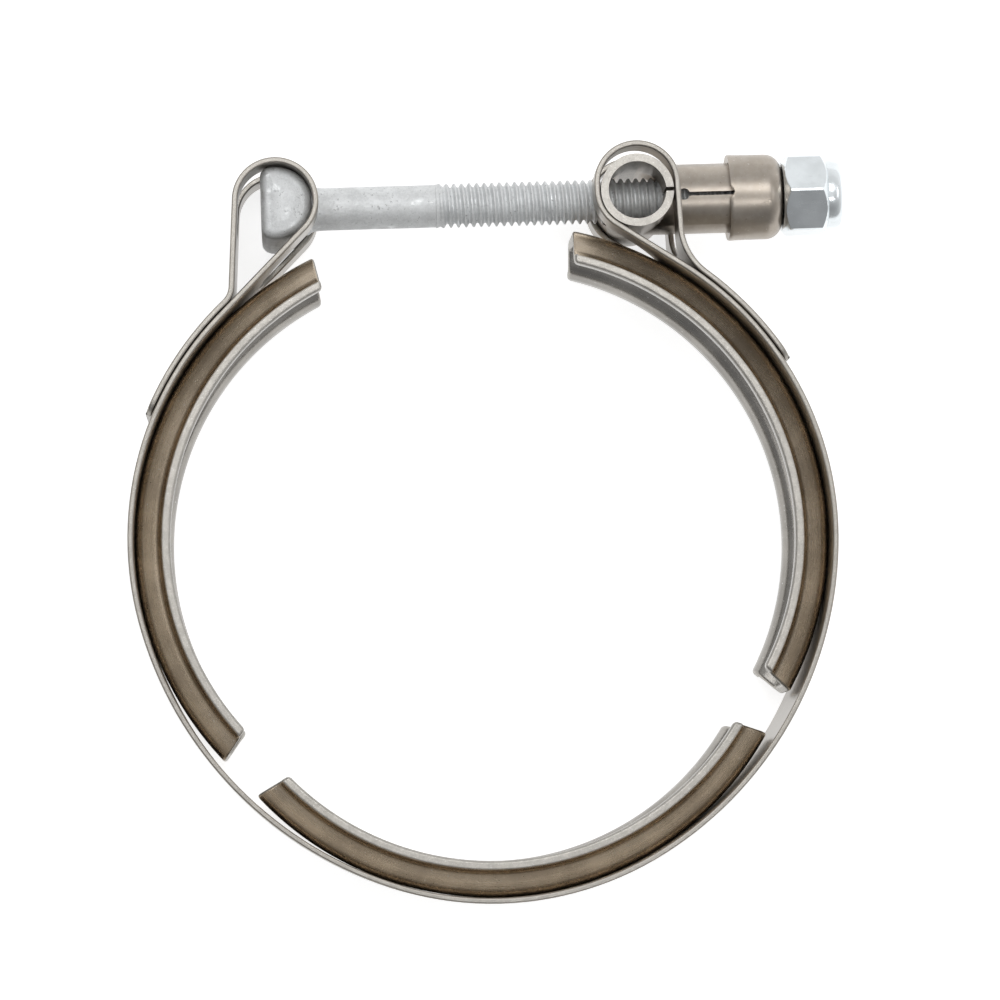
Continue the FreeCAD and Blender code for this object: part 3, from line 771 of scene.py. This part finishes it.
def sky(world):
    """White round the table. Metal reflects a dimmer ceiling, brighter on the +Y side than on -Y."""
    f = Finish(world, "ShaderNodeOutputWorld")
    way = f.node("ShaderNodeTexCoord", None, None, RAY_WAY)
    up = axis_of(way, "Z")
    slope = (axis_of(way, "Y") * 0.75 + axis_of(way, "X") * 0.6).step(-0.9, 0.9)
    pale = shade(WHITE, 0.80)
    ceiling = f.mix(slope, (0.27, 0.27, 0.275), pale)
    ceiling = f.mix(up.step(0.93, 1.0), ceiling, pale)
    walls = f.mix(slope, shade(WHITE, 0.35), WHITE)
    reflected = f.mix(up.step(0.25, 0.6), walls, ceiling)
    seen = f.mix(f.rays("Camera"), reflected, WHITE)
    shown = f.node("ShaderNodeBackground", None, {"Color": seen, "Strength": 1.0})
    soft = f.mix(slope, (0.1, 0.1, 0.1), (1.1, 1.1, 1.1))
    light = f.node("ShaderNodeBackground", None, {"Color": soft, "Strength": 0.75})
    f.split(light, shown, *SEEN)


def strip_rows(r):
    """Rows of spot welds along the strip: one on each retainer and a pair in each tail."""
    path = band_path(r)
    half = r.weld_half_span * r.ring_radius
    bottom = sum(path.arc(BOTTOM_ARC)) / 2
    left, right = path.arc(LEFT_ARC)[1] - half, path.arc(RIGHT_ARC)[0] + half
    tails = [(end, 1, r.tail_weld_off) for end in (r.tail_weld, path.total - r.tail_weld)]
    return [(bottom, WELDS, 0), (left, WELDS, 0), (right, WELDS, 0), *tails]


def material(name):
    """The named finish, made when it is first asked for."""
    if name in bpy.data.materials:
        return bpy.data.materials[name]
    c, r = bpy.context.scene.clamp_colours, bpy.context.scene.clamp_ring
    welds = {"pitch": r.weld_pitch, "radius": r.weld_radius}
    makers = {
        "band_strip": lambda: rolled_steel(
            name, c.band, rough=0.30, stain_and_glint=0.4, rows=strip_rows(r), **welds),
        # The retainers' inside colour is darkened as painted shade.
        "retainer_film": lambda: rolled_steel(
            name, c.retainer, rough=0.27, stain_and_glint=0.7, bare_and_shade=c.inside, rows=[(0, WELDS, 0)], **welds),
        "strip_edge": lambda: cut_edge(name, c.strip_edge),
        "sheared_edge": lambda: cut_edge(name, c.cut),
        "bolt_coat": lambda: zinc_flake(name, c.bolt),
        "trunnion_sheet": lambda: rolled_steel(name, c.trunnion, rough=0.33, stain_and_glint=0.45, lay=False),
        "nut_plate": lambda: bright_zinc(name, c.nut),
        "table_top": lambda: table_top(name, c.table),
    }
    return makers[name]()


# ---------------------------------------------------------------- operators


class CLAMP_OT_stage(Operator):
    """Makes the table, the lamps, the world and the camera"""

    bl_idname = "clamp.stage"
    bl_label = "Stage"

    def execute(self, context):
        low, high = CAD_BOX
        middle = (np.array(low) + np.array(high)) / 2
        scene = context.scene
        scene.view_settings.view_transform = "Standard"
        x, y = np.meshgrid([-TABLE_HALF, TABLE_HALF], [-TABLE_HALF, TABLE_HALF], indexing="ij")
        grid = np.stack([x + middle[0], y + middle[1], np.full(x.shape, low[2] - TABLE_GAP)], -1)
        mesh = bpy.data.meshes.new("table")
        mesh.from_pydata(grid.reshape(-1, 3).tolist(), [], [(0, 2, 3, 1)])
        mesh.materials.append(material("table_top"))
        table = bpy.data.objects.new("table", mesh)
        scene.collection.objects.link(table)
        for name, (spot, turn, wide, deep, power) in LAMPS.items():
            lamp = bpy.data.lights.new(name, "AREA")
            lamp.shape, lamp.size, lamp.size_y, lamp.energy = "RECTANGLE", wide, deep, power
            holder = bpy.data.objects.new(name, lamp)
            holder.location = spot
            holder.rotation_euler = Euler(np.radians(turn))
            scene.collection.objects.link(holder)
        world = bpy.data.worlds.new("studio")
        scene.world = world
        sky(world)
        camera = bpy.data.cameras.new("camera")
        camera.lens, camera.sensor_width = CAMERA_LENS, CAMERA_SENSOR
        camera.clip_start, camera.clip_end = CAMERA_CLIP
        holder = bpy.data.objects.new("camera", camera)
        holder.location = CAMERA_PLACE
        holder.rotation_euler = Euler(np.radians(CAMERA_TURN))
        scene.collection.objects.link(holder)
        scene.camera = holder
        return {"FINISHED"}


class CLAMP_OT_band(Operator):
    """Makes the looped band in two halves, which meet at the bottom retainer's middle"""

    bl_idname = "clamp.band"
    bl_label = "Band"

    def execute(self, context):
        r = context.scene.clamp_ring
        path = band_path(r)
        middle = sum(path.arc(BOTTOM_ARC)) / 2
        bottom = 1.5 * np.pi + r.lean
        metals = [material("band_strip"), material("strip_edge")]
        halves = ((-1, "band_left", (0, middle)), (1, "band_right", (middle, path.total)))
        for side, name, span in halves:
            shells, lay = strip_shells(r, path, *span)
            half = piece(name, shells, None, metals, lay=lay, bevel=0.24 * MM, sharp=40,
                         node=["band"], steps=3, bevel_slot=0, seam=toward(bottom))
            leave = toward(bottom + side * r.weld_half_span) * r.ring_radius
            centre, jaw_middle, _, _ = jaw(r, side)
            arrive = centre + toward(jaw_middle - side * r.weld_half_span) * r.ring_radius
            "left_jaw" if side < 0 else "right_jaw"
            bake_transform(half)
        return {"FINISHED"}


class CLAMP_OT_retainers(Operator):
    """Makes the three V retainers"""

    bl_idname = "clamp.retainers"
    bl_label = "Retainers"

    def execute(self, context):
        r = context.scene.clamp_ring
        metals = [material("retainer_film"), material("sheared_edge")]
        places = {
            "bottom": (0j, 1.5 * np.pi + r.lean, "ring_base"),
            "left": (*jaw(r, -1)[:2], "left_jaw"),
            "right": (*jaw(r, 1)[:2], "right_jaw"),
        }
        for name, (centre, middle, body) in places.items():
            shell, lay = retainer_shell(r, centre, middle)
            piece(f"retainer_{name}", [shell], body, metals, lay=lay, bevel=0.42 * MM, sharp=45,
                  node=[f"v_segment_{name}"], steps=3)
        return {"FINISHED"}


class CLAMP_OT_bolt(Operator):
    """Makes the T-head and the threaded shank"""

    bl_idname = "clamp.bolt"
    bl_label = "T-bolt"
    SHARPEST = 0.05 * MM

    def execute(self, context):
        r, b = context.scene.clamp_ring, context.scene.clamp_bolt
        head_at, _ = loop_places(r)
        place = (head_at.real, head_at.imag, 0)
        shells = [self.head(b), self.shank(b, head_at.real)]
        piece("t_bolt_body", shells, "bolt", [material("bolt_coat")], place=place, sharp=28,
              node=["t_bolt"])
        return {"FINISHED"}

    def head(self, b):
        """D-shaped bar along Z with rounded corners, domed ends and a rounded bevel round them.

        At inset d the section is the circle of radius - d, cut off flat at back - d, and each corner
        is an arc of corner - d. An end scales that section about its middle: its dome falls by
        dome * share^2.
        """
        turn = np.linspace(0, np.pi / 2, 9)
        share = np.linspace(0, 1, 9)[:-1]
        low = b.head_dome * share**2
        bevel = b.head_bevel * (1 - np.sin(turn))
        rise = b.head_dome + b.head_bevel * (1 - np.cos(turn))
        middle = np.array([self.head_section(b, b.head_bevel)])
        centre = b.head_radius / 4
        ends = centre + (middle - centre) * share[:, None]
        sides = np.array([self.head_section(b, inset) for inset in bevel])
        section = np.concatenate([ends, sides])
        z = np.concatenate([low, rise]) - b.head_length / 2
        section, z = np.concatenate([section, section[::-1]]), np.concatenate([z, -z[::-1]])
        grid = np.stack([section.real, section.imag, np.broadcast_to(z[:, None], section.shape)], -1)
        return ring_of(grid)

    def head_section(self, b, inset):
        """The D at this inset: a circle cut off flat at the back, with an arc at each corner."""
        radius, flat, corner = (size - inset for size in (b.head_radius, b.head_flat, b.head_corner))
        corner = max(corner, self.SHARPEST)
        reach = np.pi - np.arccos((flat - corner) / (radius - corner))
        round_side = radius * toward(np.linspace(-1, 1, 57) * reach)
        upper = (radius - corner) * toward(reach) + corner * toward(np.linspace(reach, np.pi, 9))[1:]
        lower = np.conj(upper)[::-1]
        back = upper[-1] + (lower[0] - upper[-1]) * np.linspace(0, 1, 10)[1:-1]
        return np.concatenate([round_side, upper, back, lower[:-1]])

    def shank(self, b, head_x):
        """Shank that flares into the head, then a helical thread, then a bevelled tip.

        The flare is height * e^(-run / fade). The thread's phase is x / pitch - turn / 2 pi, and its
        crests are flat with slanted sides, 0 at the root and 1 at the top, eased by a cubic. Over its
        run-out the root sinks from the crests to its full depth.
        """
        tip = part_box("lock_nut")[1][0] - head_x - b.tip_inset
        flare, flare_start, flare_fade = 0.55 * MM, 4.3 * MM, 0.45 * MM
        plain = np.concatenate([
            [0.0], np.linspace(3.6 * MM, 6.2 * MM, 14), np.linspace(7 * MM, b.thread_start, 8)])
        run = np.maximum(plain - flare_start, 0)
        neck = b.shank_radius + flare * np.exp(-run / flare_fade)
        turns, step = full_turn(72), b.pitch / 14
        wound = np.arange(b.thread_start + step, tip - 0.2 * MM, step)
        phase = np.mod(wound[:, None] / b.pitch - turns / (2 * np.pi), 1)
        crest_top, crest_slope, easing = 1.25, 3.1, 0.35
        crest = np.clip(crest_top - abs(phase - 0.5) * crest_slope, 0, 1)
        crest = crest * crest * (3 - 2 * crest) * easing + crest * (1 - easing)
        run_out, bevel_run, bevel_rise = 1.6 * MM, 0.9 * MM, 0.7 * MM
        depth = np.minimum((wound - b.thread_start) / run_out, 1)[:, None]
        root = b.thread_radius - (b.thread_radius - b.thread_root) * depth
        radius = root + (b.thread_radius - root) * crest
        bevel = np.minimum(1, (tip - wound) / bevel_run)[:, None]
        radius = np.minimum(radius, b.thread_root - 0.05 * MM + bevel_rise * bevel)
        return ring_of(np.concatenate([
            about_x([0.0], 0.0, turns),
            about_x(plain, neck[:, None], turns),
            about_x(wound, radius, turns),
            about_x([tip], b.thread_root - 0.15 * MM, turns),
            about_x([tip], 0.0, turns),
        ]))


class CLAMP_OT_trunnion(Operator):
    """Finishes the trunnion and makes the cap over its half shells"""

    bl_idname = "clamp.trunnion"
    bl_label = "Trunnion"

    def execute(self, context):
        b = context.scene.clamp_bolt
        sheet, cut = material("trunnion_sheet"), material("sheared_edge")
        piece("trunnion_body", [self.barrel_and_snout()], "latch", [sheet, cut], bevel=0.13 * MM,
              sharp=50, node=["trunnion"], flatten=True)
        low, high = (np.array(corner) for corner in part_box("trunnion_cap"))
        place = (low[0], *(low + high)[1:] / 2)
        piece("cap_shell", [self.cap(b, high[0] - low[0])], "latch", [sheet], place=place, sharp=38,
              node=["trunnion_cap"])
        return {"FINISHED"}

    def cap(self, b, span):
        """Drawn cup about X: a slightly raised rim, a rounded closed end with a hole, and its bore.

        The rim is notched over the slit: x grows by notch * e^(-x / fade - (turn / width)^2).
        """
        shoulder, swell = b.cap_shoulder, 0.06 * MM
        turn = np.linspace(0, np.pi / 2, 14)
        rim = b.cap_radius - swell
        end = span - b.cap_wall
        profile = [
            ([0.0, 0.12 * MM, 0.5 * MM, 1.2 * MM, 2.4 * MM], rim + swell * np.array([0, 1, 1, 0.4, 0])),
            (np.linspace(3 * MM, span - shoulder, 6)[:-1], np.full(5, rim)),
            (span - shoulder + shoulder * np.sin(turn), rim - shoulder + shoulder * np.cos(turn)),
            (np.full(3, span), np.linspace(rim - shoulder, b.cap_hole + 0.1 * MM, 4)[1:]),
            ([span - 0.1 * MM, end], np.full(2, b.cap_hole)),
            ([end], [b.cap_bore]),
            (np.linspace(end, 0.15 * MM, 6), np.full(6, b.cap_bore)),
        ]
        x, radius = (np.concatenate(column) for column in zip(*profile))
        turns = full_turn(120)
        grid = about_x(x, radius[:, None], turns)
        notch, width, fade, reach = 0.5 * MM, 0.1, 0.7 * MM, 3 * MM
        inwards = notch * np.exp(-((turns - np.pi / 2) / width) ** 2)
        grid[..., 0] += inwards * np.exp(-x[:, None] / fade) * (x[:, None] < reach)
        return ring_of(grid, closed_rows=True)

    def barrel_and_snout(self):
        """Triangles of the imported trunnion, with the barrel's two flat ends marked as cut edges."""
        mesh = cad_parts["trunnion"].data
        points = np.empty(len(mesh.vertices) * 3)
        mesh.vertices.foreach_get("co", points)
        points = points.reshape(-1, 3)
        faces = np.array([face.vertices[:] for face in mesh.polygons])
        heights = points[faces][..., 2]
        return points, faces, abs(heights).min(1) > abs(points[:, 2]).max() - 0.01 * MM


class CLAMP_OT_nut(Operator):
    """Makes the lock nut"""

    bl_idname = "clamp.nut"
    bl_label = "Lock nut"

    def execute(self, context):
        b = context.scene.clamp_bolt
        low, high = (np.array(corner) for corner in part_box("lock_nut"))
        place = (low[0], *(low + high)[1:] / 2)
        piece("nut_body", [self.nut(b, high[0] - low[0])], "nut", [material("nut_plate")], place=place,
              sharp=24, node=["lock_nut"])
        return {"FINISHED"}

    def nut(self, b, span):
        """Hexagon about X, bevelled by cones at both ends, then a crown and the bore.

        A side lies at flat / cos(turn from its middle), its corners are cut off by a little, and the
        cones hold it below face + run / tan(bevel). The crown is round by the powers 0.75 and 0.6.
        """
        turns = full_turn(240)
        sixth = np.pi / 3
        flat, lip = b.nut_flats / 2, b.thread_radius + b.nut_lip
        corner = flat / np.cos(sixth / 2)
        off_corner = abs(np.mod(turns + sixth / 2 - np.pi / 2, sixth) - sixth / 2)
        hexagon = np.minimum(flat / np.cos(sixth / 2 - off_corner), corner - 0.08 * MM)
        face, top, slope = flat - b.nut_step, span - b.nut_crown, np.tan(b.nut_chamfer)
        rise = (corner - face) * slope
        x = np.concatenate([
            np.linspace(0, rise, 12),
            np.linspace(rise, top - rise, 10)[1:-1],
            np.linspace(top - rise, top, 12),
        ])
        limit = face + np.minimum(x, top - x) / slope
        turn = np.linspace(0, np.pi / 2, 12)[1:]
        crown_x = top + b.nut_crown * np.sin(turn) ** 0.75
        crown = lip + (face - lip) * abs(np.cos(turn)) ** 0.6
        bore_x = np.concatenate([
            [span, span - 0.3 * MM], np.linspace(span - 1 * MM, 0.5 * MM, 5), [0.0]])
        bore = b.nut_bore + np.array([0.3, 0, 0, 0, 0, 0, 0, 0.4]) * MM
        return ring_of(np.concatenate([
            about_x(x, np.minimum(hexagon, limit[:, None]), turns),
            about_x(crown_x, crown[:, None], turns),
            about_x(bore_x, bore[:, None], turns),
        ]), closed_rows=True)


class CLAMP_PT_panel(Panel):
    """Lists the clamp's pieces, sizes and colours"""

    bl_label = "V-band clamp"
    bl_space_type = "VIEW_3D"
    bl_region_type = "UI"
    bl_category = "Clamp"

    def draw(self, context):
        for operator in OPERATORS:
            self.layout.operator(operator.bl_idname)
        for group in (context.scene.clamp_ring, context.scene.clamp_bolt, context.scene.clamp_colours):
            box = self.layout.box()
            for name in group.__annotations__:
                box.prop(group, name)


GROUPS = {"clamp_ring": ClampRingSizes, "clamp_bolt": ClampBoltSizes, "clamp_colours": ClampColours}
OPERATORS = (
    CLAMP_OT_stage, CLAMP_OT_band, CLAMP_OT_retainers, CLAMP_OT_bolt, CLAMP_OT_trunnion, CLAMP_OT_nut)


def register():
    for kind in (*GROUPS.values(), *OPERATORS, CLAMP_PT_panel):
        bpy.utils.register_class(kind)
    for name, group in GROUPS.items():
        setattr(bpy.types.Scene, name, PointerProperty(type=group))


def unregister():
    for name in GROUPS:
        delattr(bpy.types.Scene, name)
    for kind in (CLAMP_PT_panel, *OPERATORS[::-1], *GROUPS.values()):
        bpy.utils.unregister_class(kind)


def main():
    """Builds the clamp and its stage."""
    register()
    for operator in OPERATORS:
        group, name = operator.bl_idname.split(".")
        getattr(getattr(bpy.ops, group), name)()


if __name__ == "__main__":
    main()
